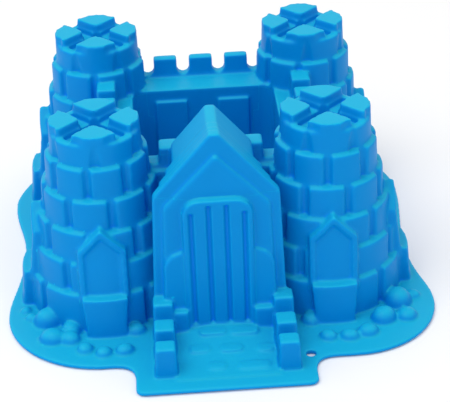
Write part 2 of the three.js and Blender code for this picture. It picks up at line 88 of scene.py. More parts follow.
class Bench:
    """Modelling steps that work on one object at a time."""

    @staticmethod
    def clear() -> None:
        """Deselects everything."""
        bpy.ops.object.select_all(action="DESELECT")

    @staticmethod
    def pick(piece: bpy.types.Object) -> None:
        """Makes one object the only selected and active one."""
        Bench.clear()
        piece.select_set(True)
        bpy.context.view_layer.objects.active = piece

    @staticmethod
    def settle(name: str) -> bpy.types.Object:
        """Names the newest primitive and bakes its place into its mesh.

        Args:
            name: The object's name.

        Returns:
            The object, at the origin, unturned and unscaled.
        """
        piece = bpy.context.active_object
        piece.name = name
        piece.data.transform(piece.matrix_basis)
        piece.matrix_basis = Matrix.Identity(4)
        return piece

    @staticmethod
    def block(low: Sequence[float], high: Sequence[float], soft: float = 0.0) -> bpy.types.Object:
        """A block between two corners.

        Args:
            low: The lowest corner.
            high: The highest corner.
            soft: The radius of its rounded edges.

        Returns:
            The block.
        """
        Bench.clear()
        middle = [(a + b) / 2 for a, b in zip(low, high)]
        size = [b - a for a, b in zip(low, high)]
        bpy.ops.mesh.primitive_cube_add(size=1, location=middle, scale=size)
        piece = Bench.settle("block")
        return Bench.bevelled(piece, soft) if soft else piece

    @staticmethod
    def post(
        x: float, y: float, foot: float, head: float, low: float, high: float, sides: int = 96
    ) -> bpy.types.Object:
        """An upright round post.

        Args:
            x: Axis place across.
            y: Axis place in depth.
            foot: Radius at the foot.
            head: Radius at the head.
            low: Height of the foot.
            high: Height of the head.
            sides: Number of flats round it.

        Returns:
            The post.
        """
        Bench.clear()
        bpy.ops.mesh.primitive_cone_add(
            vertices=sides, radius1=foot, radius2=head, depth=high - low, location=(x, y, (low + high) / 2)
        )
        return Bench.settle("post")

    @staticmethod
    def ball(place: Sequence[float], size: Sequence[float], turn: float = 0.0) -> bpy.types.Object:
        """A rounded stone.

        Args:
            place: Its centre.
            size: Its radii.
            turn: Its turn about Z, in radians.

        Returns:
            The stone.
        """
        Bench.clear()
        bpy.ops.mesh.primitive_ico_sphere_add(
            subdivisions=4, radius=1, location=place, rotation=(0, 0, turn), scale=size
        )
        return Bench.settle("stone")

    @staticmethod
    def prism(outline: Outline, start: float, end: float, upright: bool) -> bpy.types.Object:
        """A prism of an outline: a disc is set to the outline and extruded.

        Args:
            outline: Corners (x, y) of a plan, or (x, z) of a front view.
            start: Where it starts, in z for a plan and in y for a front view.
            end: Where it ends.
            upright: True for a plan that rises, False for a front view that runs back.

        Returns:
            The prism.
        """
        Bench.clear()
        bpy.ops.mesh.primitive_circle_add(vertices=len(outline), radius=1, fill_type="NGON")
        piece = Bench.settle("prism")
        for vertex, (a, b) in zip(piece.data.vertices, outline):
            vertex.co = (a, b, start) if upright else (a, start, b)
        bpy.ops.object.mode_set(mode="EDIT")
        bpy.ops.mesh.select_all(action="SELECT")
        run = end - start
        step = (0, 0, run) if upright else (0, run, 0)
        bpy.ops.mesh.extrude_region_move(TRANSFORM_OT_translate={"value": step})
        bpy.ops.mesh.select_all(action="SELECT")
        bpy.ops.mesh.normals_make_consistent(inside=False)
        bpy.ops.object.mode_set(mode="OBJECT")
        return piece

    @staticmethod
    def arc_brick(
        inner: float, outer: float, low: float, high: float, sweep: float, draft: float
    ) -> bpy.types.Object:
        """A curved brick about the Z axis, centred on -Y, spun from a flat section.

        Args:
            inner: Radius of its back.
            outer: Radius of its face at the top.
            low: Height of its foot.
            high: Height of its top.
            sweep: Its angle, in radians.
            draft: How much further out its face stands at the foot.

        Returns:
            The brick, with soft edges.
        """
        Bench.clear()
        bpy.ops.mesh.primitive_plane_add(size=1)
        piece = Bench.settle("brick")
        corners = [(inner, low), (outer + draft, low), (inner, high), (outer, high)]
        begin = -math.pi / 2 - sweep / 2
        for vertex, (radius, z) in zip(piece.data.vertices, corners):
            vertex.co = (radius * math.cos(begin), radius * math.sin(begin), z)
        bpy.ops.object.mode_set(mode="EDIT")
        bpy.ops.mesh.select_all(action="SELECT")
        steps = max(4, round(math.degrees(sweep) / 4))
        bpy.ops.mesh.spin(steps=steps, angle=-sweep, center=(0, 0, 0), axis=(0, 0, 1))
        bpy.ops.mesh.select_all(action="SELECT")
        bpy.ops.mesh.normals_make_consistent(inside=False)
        bpy.ops.object.mode_set(mode="OBJECT")
        return Bench.bevelled(piece, 1.5)

    @staticmethod
    def bevelled(piece: bpy.types.Object, radius: float) -> bpy.types.Object:
        """Rounds the sharp edges of a lump and returns it."""
        Bench.pick(piece)
        bevel = piece.modifiers.new("soft edge", "BEVEL")
        bevel.width = radius
        bevel.segments = 3
        bevel.limit_method = "ANGLE"
        bevel.angle_limit = math.radians(35)
        bpy.ops.object.modifier_apply(modifier=bevel.name)
        return piece

    @staticmethod
    def copy(piece: bpy.types.Object, move: Matrix) -> bpy.types.Object:
        """A copy of a lump with its own mesh, moved by a matrix."""
        twin = piece.copy()
        twin.data = piece.data.copy()
        twin.data.transform(move)
        if move.determinant() < 0:
            twin.data.flip_normals()
        bpy.context.scene.collection.objects.link(twin)
        return twin

    @staticmethod
    def fuse(pieces: Iterable[bpy.types.Object], name: str) -> bpy.types.Object:
        """Joins lumps into one object."""
        pieces = list(pieces)
        Bench.clear()
        for piece in pieces:
            piece.select_set(True)
        bpy.context.view_layer.objects.active = pieces[0]
        if len(pieces) > 1:
            bpy.ops.object.join()
        pieces[0].name = name
        return pieces[0]

    @staticmethod
    def work(piece: bpy.types.Object, tool: bpy.types.Object, op: Op, spend: bool = True) -> bpy.types.Object:
        """Adds, cuts or keeps by another solid.

        Args:
            piece: The solid worked on.
            tool: The solid that works on it.
            op: What is done.
            spend: True if the tool isn't needed again.

        Returns:
            The worked piece.
        """
        Bench.pick(piece)
        boolean = piece.modifiers.new("work", "BOOLEAN")
        boolean.operation = op.value
        boolean.solver = "MANIFOLD"
        boolean.object = tool
        bpy.ops.object.modifier_apply(modifier=boolean.name)
        if spend:
            bpy.data.objects.remove(tool)
        return piece

    @staticmethod
    def skin(piece: bpy.types.Object, voxel: float, passes: int) -> bpy.types.Object:
        """Melts lumps into one skin and rounds its creases.

        Args:
            piece: The joined lumps.
            voxel: The size of the skin's faces.
            passes: How often it is smoothed.

        Returns:
            The piece.
        """
        Bench.pick(piece)
        remesh = piece.modifiers.new("melt", "REMESH")
        remesh.mode = "VOXEL"
        remesh.voxel_size = voxel
        bpy.ops.object.modifier_apply(modifier=remesh.name)
        if passes:
            smooth = piece.modifiers.new("soften", "SMOOTH")
            smooth.factor = 0.5
            smooth.iterations = passes
            bpy.ops.object.modifier_apply(modifier=smooth.name)
        return piece


def turned(degrees: float, x: float = 0.0, y: float = 0.0) -> Matrix:
    """A turn about Z followed by a move in plan."""
    return Matrix.Translation((x, y, 0)) @ Matrix.Rotation(math.radians(degrees), 4, "Z")


def arc(
    x: float, y: float, radius: float, start: float, end: float, steps: int = 8
) -> list[tuple[float, float]]:
    """Points of an arc, from one angle in degrees to another."""
    angles = [math.radians(start + (end - start) * i / steps) for i in range(steps + 1)]
    return [(x + radius * math.cos(a), y + radius * math.sin(a)) for a in angles]


def bezier(
    start: tuple, first: tuple, second: tuple, end: tuple, steps: int = 12
) -> list[tuple[float, float]]:
    """Points of a cubic curve, without its start."""
    points = []
    for i in range(1, steps + 1):
        t = i / steps
        s = 1 - t
        weights = (s**3, 3 * s * s * t, 3 * s * t * t, t**3)
        pulls = list(zip(weights, (start, first, second, end)))
        points.append(tuple(sum(weight * point[k] for weight, point in pulls) for k in (0, 1)))
    return points


def house(base: float, eave: float, low: float, shoulder: float, apex: float) -> list[tuple[float, float]]:
    """The outline of a house front: leaning sides under a pointed top."""
    return [(-base, low), (base, low), (eave, shoulder), (0.0, apex), (-eave, shoulder)]


def rounded(outline: Outline, radius: float, steps: int = 4) -> list[tuple[float, float]]:
    """An outline with its corners rounded off.

    Args:
        outline: The corners.
        radius: How far from a corner its curve starts.
        steps: Edges of each curve.

    Returns:
        The new corners.
    """
    points = []
    for i, corner in enumerate(outline):
        here = Vector(corner)
        ends = []
        for other in (outline[i - 1], outline[(i + 1) % len(outline)]):
            away = Vector(other) - here
            ends.append(here + away.normalized() * min(radius, 0.49 * away.length))
        for k in range(steps + 1):
            t = k / steps
            point = ends[0] * (1 - t) ** 2 + here * 2 * t * (1 - t) + ends[1] * t**2
            points.append((point.x, point.y))
    return points


# ---------------------------------------------------------------- finishes


@dataclass(frozen=True)
class Silicone:
    """Satin moulded silicone: soft sheen and faint mottling, with a painted highlight along its edges,
    painted shade in its creases and painted light on faces that look up.

    Attributes:
        body: Colour of the body.
        edge: Painted highlight, a paler blue along sharp edges where light catches them.
        crease_shade: Painted shade, a deeper and more saturated blue in creases and hollows.
        painted_top_light: Painted light, a paler cyan on faces that look up, where the overhead light falls.
        roughness: Mean roughness.
    """

    body: tuple[float, float, float] = (0.0, 0.255, 0.66)
    # Painted highlight: a paler blue along sharp edges, where light catches them.
    edge: tuple[float, float, float] = (0.0, 0.40, 0.76)
    # Painted shade: a deeper, more saturated blue in creases and hollows.
    crease_shade: tuple[float, float, float] = (0.0, 0.20, 0.92)
    # Painted light: a paler cyan on faces that look up, where the overhead light falls.
    painted_top_light: tuple[float, float, float] = (0.01, 0.46, 0.66)
    roughness: float = 0.42

    def make(self) -> bpy.types.Material:
        """Builds the material.

        Returns:
            The node material.
        """
        material = bpy.data.materials.new("silicone_blue")
        material.use_nodes = True
        nodes = material.node_tree.nodes
        links = material.node_tree.links
        shader = nodes["Principled BSDF"]
        place = nodes.new("ShaderNodeTexCoord")

        mottle = nodes.new("ShaderNodeTexNoise")
        mottle.inputs["Scale"].default_value = 28.0
        mottle.inputs["Detail"].default_value = 4.0
        links.new(place.outputs["Object"], mottle.inputs["Vector"])

        geometry = nodes.new("ShaderNodeNewGeometry")
        # Painted highlight and painted shade: by pointiness, sharp edges turn a paler blue and creases a
        # deeper blue.
        painted_edge_crease_ramp = nodes.new("ShaderNodeValToRGB")
        ramp = painted_edge_crease_ramp.color_ramp
        ramp.elements[0].position = 0.42
        ramp.elements[0].color = (*self.crease_shade, 1)
        ramp.elements[1].position = 0.60
        ramp.elements[1].color = (*self.edge, 1)
        for spot in (0.485, 0.515):
            element = ramp.elements.new(spot)
            element.color = (*self.body, 1)
        links.new(geometry.outputs["Pointiness"], painted_edge_crease_ramp.inputs["Fac"])

        tint = nodes.new("ShaderNodeHueSaturation")
        value = nodes.new("ShaderNodeMapRange")
        value.inputs["To Min"].default_value = 0.94
        value.inputs["To Max"].default_value = 1.06
        links.new(mottle.outputs["Fac"], value.inputs["Value"])
        links.new(value.outputs["Result"], tint.inputs["Value"])
        links.new(painted_edge_crease_ramp.outputs["Color"], tint.inputs["Color"])

        # Painted light: faces that look up are blended towards a paler cyan, as though lit from overhead.
        split = nodes.new("ShaderNodeSeparateXYZ")
        links.new(place.outputs["Normal"], split.inputs["Vector"])
        upward = nodes.new("ShaderNodeMapRange")
        upward.interpolation_type = "SMOOTHSTEP"
        upward.inputs["From Min"].default_value = 0.35
        upward.inputs["From Max"].default_value = 0.95
        upward.inputs["To Max"].default_value = 0.75
        links.new(split.outputs["Z"], upward.inputs["Value"])
        top_light_blend = nodes.new("ShaderNodeMix")
        top_light_blend.data_type = "RGBA"
        top_light_blend.inputs[7].default_value = (*self.painted_top_light, 1)
        links.new(upward.outputs["Result"], top_light_blend.inputs[0])
        links.new(tint.outputs["Color"], top_light_blend.inputs[6])
        links.new(top_light_blend.outputs[2], shader.inputs["Base Color"])

        haze = nodes.new("ShaderNodeTexNoise")
        haze.inputs["Scale"].default_value = 140.0
        haze.inputs["Detail"].default_value = 3.0
        links.new(place.outputs["Object"], haze.inputs["Vector"])
        sheen = nodes.new("ShaderNodeMapRange")
        sheen.inputs["To Min"].default_value = self.roughness - 0.06
        sheen.inputs["To Max"].default_value = self.roughness + 0.08
        links.new(haze.outputs["Fac"], sheen.inputs["Value"])
        links.new(sheen.outputs["Result"], shader.inputs["Roughness"])

        grain = nodes.new("ShaderNodeTexNoise")
        grain.inputs["Scale"].default_value = 900.0
        grain.inputs["Detail"].default_value = 2.0
        links.new(place.outputs["Object"], grain.inputs["Vector"])
        bump = nodes.new("ShaderNodeBump")
        bump.inputs["Strength"].default_value = 0.05
        bump.inputs["Distance"].default_value = 0.0004
        links.new(grain.outputs["Fac"], bump.inputs["Height"])
        links.new(bump.outputs["Normal"], shader.inputs["Normal"])

        shader.inputs["Specular IOR Level"].default_value = 0.08
        shader.inputs["Subsurface Weight"].default_value = 0.12
        shader.inputs["Subsurface Radius"].default_value = (0.2, 0.6, 1.0)
        shader.inputs["Subsurface Scale"].default_value = 0.004
        return material


@dataclass(frozen=True)
class Tabletop:
    """Plain matt white paper for the floor."""

    color: tuple[float, float, float] = (0.93, 0.93, 0.93)

    def make(self) -> bpy.types.Material:
        """Builds the material."""
        material = bpy.data.materials.new("paper")
        material.use_nodes = True
        shader = material.node_tree.nodes["Principled BSDF"]
        shader.inputs["Base Color"].default_value = (*self.color, 1)
        shader.inputs["Roughness"].default_value = 0.9
        return material


# ---------------------------------------------------------------- sub-assemblies


@dataclass
class Tower:
    """A round stepped tower with brick courses, a four-part crown and window bays.

    Attributes:
        name: Which corner it stands at.
        x: Axis place across.
        y: Axis place in depth.
        bays: Sides that its window bays look to.
        odd: Angle of the first joint of every second course, in degrees from the gate side.
        even: The same for the other courses.
        crown_joint: The same for the crown.
    """

    name: str
    x: float
    y: float
    bays: tuple[Facing, ...]
    odd: float
    even: float
    crown_joint: float
    top: float = 124.0
    course: float = 19.3
    bricks: int = 8
    crown_bricks: int = 6
    brick_draft: float = 0.5
    courses: int = 6
    crown_radius: float = 27.0
    step: float = 3.8
    joint: float = 4.6
    joint_depth: float = 2.7
    groove: float = 7.4
    groove_top: float = 10.6
    groove_depth: float = 8.5
    pit_radius: float = 9.0
    pit_depth: float = 13.0
    sill: float = 5.0
    sill_height: float = 3.0
    corner: float = 5.0
    scoop_reach: float = 3.4
    scoop_foot: float = 5.2
    scoop_head: float = 3.2
    wall: float = 2.0
    bay_half: float = 14.6
    bay_foot: float = 22.0
    bay_shoulder: float = 55.9
    bay_apex: float = 70.8
    bay_reach: tuple[float, float] = (50.5, 39.5)
    bay_frame: float = 3.6
    bay_sunk: float = 2.2
    block_reach: tuple[float, float] = (53.6, 51.0)
    block_top: float = 28.2
    block_half: float = 13.8
    block_taper: float = 2.4

    def radius(self, course: int) -> float:
        """Radius of a course, the crown being course 0."""
        return self.crown_radius + self.step * course

    def height(self, course: int) -> float:
        """Height of the top of a course."""
        return self.top - self.course * course

    def foot(self, course: int) -> float:
        """Height at which a course starts."""
        return 0.0 if course == self.courses - 1 else self.height(course + 1)

    def lumps(self) -> list[bpy.types.Object]:
        """Lumps of the outside: cores, bricks and bays."""
        made = []
        for course in range(self.courses):
            radius = self.radius(course)
            if course == 0:
                made += self.crown()
                continue
            foot = max(0.0, self.foot(course) - 3)
            core = radius - self.joint_depth
            made.append(Bench.post(0, 0, core, core, foot, self.height(course) - 0.3))
            first = self.odd if course % 2 else self.even
            sweep = 2 * math.pi / self.bricks - self.joint / radius
            low = 0.0 if course == self.courses - 1 else self.foot(course) - 1.5
            brick = Bench.arc_brick(core - 4, radius, low, self.height(course), sweep, self.brick_draft)
            for i in range(self.bricks):
                turn = first + (i + 0.5) * 360 / self.bricks
                made.append(Bench.copy(brick, turned(turn)))
            bpy.data.objects.remove(brick)
        for facing in self.bays:
            for lump in (self.bay(0.0), self.corbel(0.0)):
                lump.data.transform(turned(facing.value))
                made.append(lump)
        return [self.placed(lump) for lump in made]

    def crown(self) -> list[bpy.types.Object]:
        """The crown's drum and its four merlons."""
        foot = self.foot(0) - 1.5
        sill = self.top - self.groove_depth + self.sill_height
        drum = Bench.post(0, 0, self.crown_radius + 0.5, self.crown_radius, foot, sill)
        merlon = self.merlon()
        made = [Bench.copy(merlon, turned(turn)) for turn in (0, 90, 180, 270)]
        bpy.data.objects.remove(merlon)
        return made + [Bench.bevelled(drum, 1.0)]

    def merlon(self) -> bpy.types.Object:
        """A rounded wedge of the crown that faces the gate side and narrows to its top."""
        low = self.top - self.groove_depth - 3
        foot_plan = self.merlon_plan(self.groove / 2)
        head_plan = self.merlon_plan(self.groove_top / 2)
        lump = Bench.prism(foot_plan, low, self.top, True)
        for vertex in lump.data.vertices:
            if vertex.co.z > low + 1:
                here = Vector((vertex.co.x, vertex.co.y))
                gaps = [(here - Vector(corner)).length for corner in foot_plan]
                vertex.co.x, vertex.co.y = head_plan[gaps.index(min(gaps))]
        return Bench.bevelled(lump, 1.9)

    def merlon_plan(self, half: float) -> list[tuple[float, float]]:
        """A merlon's plan, between grooves of a given half width."""
        outer = 45 - math.degrees(math.asin(half / self.crown_radius))
        inner = 45 - math.degrees(math.asin(half / self.pit_radius))
        face = arc(0, 0, self.crown_radius, -90 - outer, -90 + outer, 6)
        back = arc(0, 0, self.pit_radius, -90 + inner, -90 - inner, 2)
        corners = rounded([face[0], face[-1], back[0], back[-1]], self.corner)
        share = len(corners) // 4
        return corners[:share] + face[2:-2] + corners[share:]

    def crown_joints(self) -> list[bpy.types.Object]:
        """Cutters of the broad upright joints round the crown, which fade out at its top."""
        made = []
        reach = self.crown_radius + self.scoop_reach
        for i in range(self.crown_bricks):
            scoop = Bench.post(reach, 0, self.scoop_foot, self.scoop_head, self.foot(0), self.top + 1, 32)
            scoop.data.transform(turned(self.crown_joint - 90 + 360 / self.crown_bricks * i))
            made.append(self.placed(scoop))
        return made

    def placed(self, lump: bpy.types.Object) -> bpy.types.Object:
        """Moves a lump from the tower's own axis to its corner."""
        lump.data.transform(Matrix.Translation((self.x, self.y, 0)))
        return lump

    def bay(self, grow: float) -> bpy.types.Object:
        """The pointed window frame with its sunk panel, facing the gate side.

        Args:
            grow: 0 for the outside, negative for the hollow.

        Returns:
            The bay, about the tower's axis.
        """
        half = self.bay_half + grow
        apex = self.bay_apex + 1.4 * grow
        shoulder = self.bay_shoulder + 0.5 * grow
        front = Bench.prism(house(half, half, self.bay_foot, shoulder, apex), -60, -20, False)
        inset = self.bay_sunk if grow < 0 else 0.0
        Bench.work(front, self.cone(self.bay_reach, grow - inset, 90), Op.KEEP)
        if grow < 0:
            return front
        inner = self.bay_half - self.bay_frame
        apex = self.bay_apex - 1.35 * self.bay_frame
        outline = house(inner, inner, self.block_top, self.bay_shoulder - 1.2, apex)
        pocket = Bench.prism(outline, -60, -20, False)
        Bench.work(pocket, self.cone(self.bay_reach, -self.bay_sunk, 90), Op.CUT)
        return Bench.bevelled(Bench.work(front, pocket, Op.CUT), 0.7)

    def cone(self, reach: tuple[float, float], grow: float, height: float) -> bpy.types.Object:
        """A tapered post about the tower's axis, from the ground to a height."""
        return Bench.post(0, 0, reach[0] + grow, reach[1] + grow, 0, height)

    def corbel(self, grow: float) -> bpy.types.Object:
        """The rounded block under a window, narrower at its foot."""
        high = self.block_top + grow
        half = self.block_half + grow
        foot = half - self.block_taper
        outline = [(-foot, 0), (foot, 0), (half, high), (-half, high)]
        block = Bench.prism(outline, -60, -20, False)
        Bench.work(block, self.cone(self.block_reach, grow, 30), Op.KEEP)
        return Bench.bevelled(block, 1.2) if grow == 0 else block

    def cutters(self) -> list[bpy.types.Object]:
        """The crown's crossed grooves, its pit and its upright joints."""
        floor = self.top - self.groove_depth
        bottom = self.top - self.pit_depth
        pit = Bench.post(0, 0, self.pit_radius - 1, self.pit_radius, bottom, self.top + 5, 48)
        half = self.groove / 2
        inner = self.crown_radius - self.sill
        for turn in (45, -45):
            for reach, low in ((inner, floor), (self.crown_radius + 9, floor + self.sill_height)):
                bar = Bench.block((-reach, -half, low), (reach, half, self.top + 5))
                bar.data.transform(turned(turn))
                Bench.work(pit, bar, Op.ADD)
        return [self.placed(pit)] + self.crown_joints()

    def hollow(self) -> list[bpy.types.Object]:
        """Lumps of the space inside the tower."""
        made = []
        for course in range(self.courses):
            radius = self.radius(course) - self.wall - self.joint_depth
            head = self.height(course) - self.wall
            if course == 0:
                head = self.top - self.pit_depth - self.wall
            made.append(Bench.post(self.x, self.y, radius, radius, BELOW, head, 64))
        for facing in self.bays:
            for lump in (self.bay(-self.wall - 0.2), self.corbel(-self.wall - 0.2)):
                lump.data.transform(turned(facing.value, self.x, self.y))
                made.append(lump)
        return made

    def crown_merlons(self) -> list[bpy.types.Object]:
        """The four hollow spaces inside the crown's merlons."""
        made = []
        radius = self.crown_radius - self.wall - self.joint_depth
        for turn in (0, 90, 180, 270):
            reach = self.groove / 2 * math.sqrt(2) + 2 * self.wall
            plan = [(0, -reach)] + arc(0, 0, radius, -90 - 32, -90 + 32, 6)
            space = Bench.prism(plan, self.top - self.pit_depth - 6, self.top - self.wall, True)
            space.data.transform(turned(turn, self.x, self.y))
            made.append(space)
        return made

    def room(self) -> bpy.types.Object:
        """The region that belongs to this tower below its crown."""
        made = None
        for course in range(1, self.courses):
            radius = self.radius(course) + 0.25
            low = -1.0 if course == self.courses - 1 else self.foot(course) - 0.5
            post = Bench.post(self.x, self.y, radius + 0.6, radius, low, self.height(course) + 0.4)
            made = post if made is None else Bench.work(made, post, Op.ADD)
        for facing in self.bays:
            for lump in (
                Bench.prism(house(15.2, 15.2, 10, 57.0, 72.6), -49.4, -20, False),
                Bench.block((-14.4, -54.4, -1), (14.4, -20, self.block_top + 0.6)),
            ):
                lump.data.transform(turned(facing.value, self.x, self.y))
                Bench.work(made, lump, Op.ADD)
        return made

    def crown_room(self) -> bpy.types.Object:
        """The region that belongs to this tower's crown."""
        foot, head = self.crown_radius + 0.8, self.crown_radius + 0.4
        return Bench.post(self.x, self.y, foot, head, self.height(1) + 0.4, self.top + 3)


@dataclass
class Keep:
    """The walls between the towers, with parapets, wall walk and courtyard well."""

    side: float = 69.5
    rear: float = 74.0
    front: float = 60.0
    ledge: float = 85.0
    crenel: float = 88.0
    top: float = 99.0
    parapet_side: float = 12.5
    parapet_rear: float = 7.0
    parapet_front: float = 13.0
    well_x: float = 46.5
    well_rear: float = 47.5
    well_front: float = -46.0
    well_floor: float = 20.0
    well_corner: float = 9.0
    course: float = 19.3
    step: float = 3.8
    joint: float = 4.0
    brick: float = 26.0
    wall: float = 2.0
    side_merlons: tuple[float, ...] = (-18.0, 5.0, 28.0)
    side_merlon_half: float = 7.0
    rear_merlons: tuple[float, ...] = (-23.9, 0.0, 23.6)
    rear_merlon_half: float = 7.9
    crenels: tuple[float, ...] = (-35.8, -12.0, 11.9, 35.6)
    crenel_half: float = 4.2
    crenel_floor: float = 91.2
    front_block: tuple[float, float] = (19.0, 31.5)
    panels: tuple[tuple[float, float], ...] = ((-31.6, -10.8), (9.8, 30.4))
    panel_proud: float = 2.2

    def plan(self, grow: float) -> list[tuple[float, float]]:
        """The well's outline in plan, grown by a distance."""
        x = self.well_x + grow
        rear = self.well_rear + grow
        front = self.well_front - grow
        r = self.well_corner + grow
        return (
            arc(x - r, front + r, r, -90, 0)
            + arc(x - r, rear - r, r, 0, 90)
            + arc(-x + r, rear - r, r, 90, 180)
            + arc(-x + r, front + r, r, 180, 270)
        )

    def lumps(self) -> list[bpy.types.Object]:
        """Lumps of the outside: stepped courses of bricks, the ledge and the parapets."""
        made = []
        for level in range(4):
            out = self.step * (level + 1)
            top = self.ledge - self.course * level
            foot = 0.0 if level == 3 else top - self.course - 1
            core = out - 2.0
            low = (-self.side - core, -self.front - core, foot)
            made.append(Bench.block(low, (self.side + core, self.rear + core, top)))
            made += self.brick_row(out, foot, top, level)
        walk = self.ledge - 12
        made.append(Bench.block((-self.side, -self.front, walk), (self.side, self.rear, self.ledge), 0.9))
        for side in (-1, 1):
            inner, outer = sorted((side * (self.side - self.parapet_side), side * self.side))
            made.append(Bench.block((inner, -self.front, walk), (outer, self.rear, self.crenel), 1.0))
            half = self.side_merlon_half
            for y in self.side_merlons:
                made.append(Bench.block((inner, y - half, walk), (outer, y + half, self.top + 1), 1.3))
            near, far = sorted(side * x for x in self.front_block)
            back = -self.front + self.parapet_front
            made.append(Bench.block((near, -self.front, walk), (far, back, self.top), 1.3))
        made.append(Bench.block((-60, -self.front, walk), (60, back, self.crenel), 1.0))
        start = self.rear - self.parapet_rear
        made.append(Bench.block((-60, start, walk), (60, self.rear, self.top - 3), 1.2))
        half = self.rear_merlon_half
        for x in self.rear_merlons:
            made.append(Bench.block((x - half, start, walk), (x + half, self.rear, self.top), 1.3))
        return made

    def brick_row(self, out: float, foot: float, top: float, level: int) -> list[bpy.types.Object]:
        """One course of bricks on the outer faces of the walls."""
        made = []
        shift = (level % 2) * self.brick / 2
        half = self.brick / 2 - self.joint / 2
        for i in range(-2, 3):
            middle = i * self.brick + shift
            face = self.rear + out
            made.append(Bench.block((middle - half, face - 4, foot), (middle + half, face, top), 1.1))
            for side in (-1, 1):
                inner, outer = sorted((side * (self.side + out - 4), side * (self.side + out)))
                made.append(Bench.block((inner, middle - half, foot), (outer, middle + half, top), 1.1))
        for side in (-1, 1):
            middle = side * (30 + shift / 2)
            face = -self.front - out
            made.append(Bench.block((middle - half, face, foot), (middle + half, face + 4, top), 1.1))
        return made

    def cutters(self) -> list[bpy.types.Object]:
        """Round-bottomed crenels of the rear parapet."""
        made = []
        half = self.crenel_half
        for x in self.crenels:
            bottom = arc(x, self.crenel_floor, half, 180, 360, 10)
            outline = [(x - half, 120)] + bottom + [(x + half, 120)]
            made.append(Bench.prism(outline, self.rear - self.parapet_rear - 3, self.rear + 3, False))
        return made

    def well(self, grow: float) -> bpy.types.Object:
        """The courtyard well as a solid, less the raised panels of its rear wall.

        Args:
            grow: How much larger than the well it is.

        Returns:
            The solid, up to the ledge.
        """
        head = self.ledge + 1 if grow == 0 else self.ledge - 2
        solid = Bench.prism(self.plan(grow), self.well_floor - grow, head, True)
        face = self.well_rear + grow
        low, high = 30 + grow, 77 - grow
        for inner, outer in self.panels:
            corner = (inner + grow, face - self.panel_proud, low)
            panel = Bench.block(corner, (outer - grow, face + 9, high))
            Bench.work(solid, panel, Op.CUT)
        return solid

    def hollow(self) -> list[bpy.types.Object]:
        """Lumps of the space inside the walls."""
        made = []
        for level in range(4):
            out = self.step * (level + 1) - 2.0 - self.wall
            top = self.ledge - self.course * level - self.wall
            low = (-self.side - out, -self.front - out, BELOW)
            made.append(Bench.block(low, (self.side + out, self.rear + out, top)))
        inset = self.wall
        for side in (-1, 1):
            inner, outer = sorted((side * (self.side - self.parapet_side), side * self.side))
            half = self.side_merlon_half
            for y in self.side_merlons:
                low = (inner + inset, y - half + inset, 70)
                made.append(Bench.block(low, (outer - inset, y + half - inset, self.top - 1.2)))
        half = self.rear_merlon_half
        for x in self.rear_merlons:
            low = (x - half + inset, self.rear - self.parapet_rear + inset, 70)
            made.append(Bench.block(low, (x + half - inset, self.rear - inset, self.top - inset)))
        return made


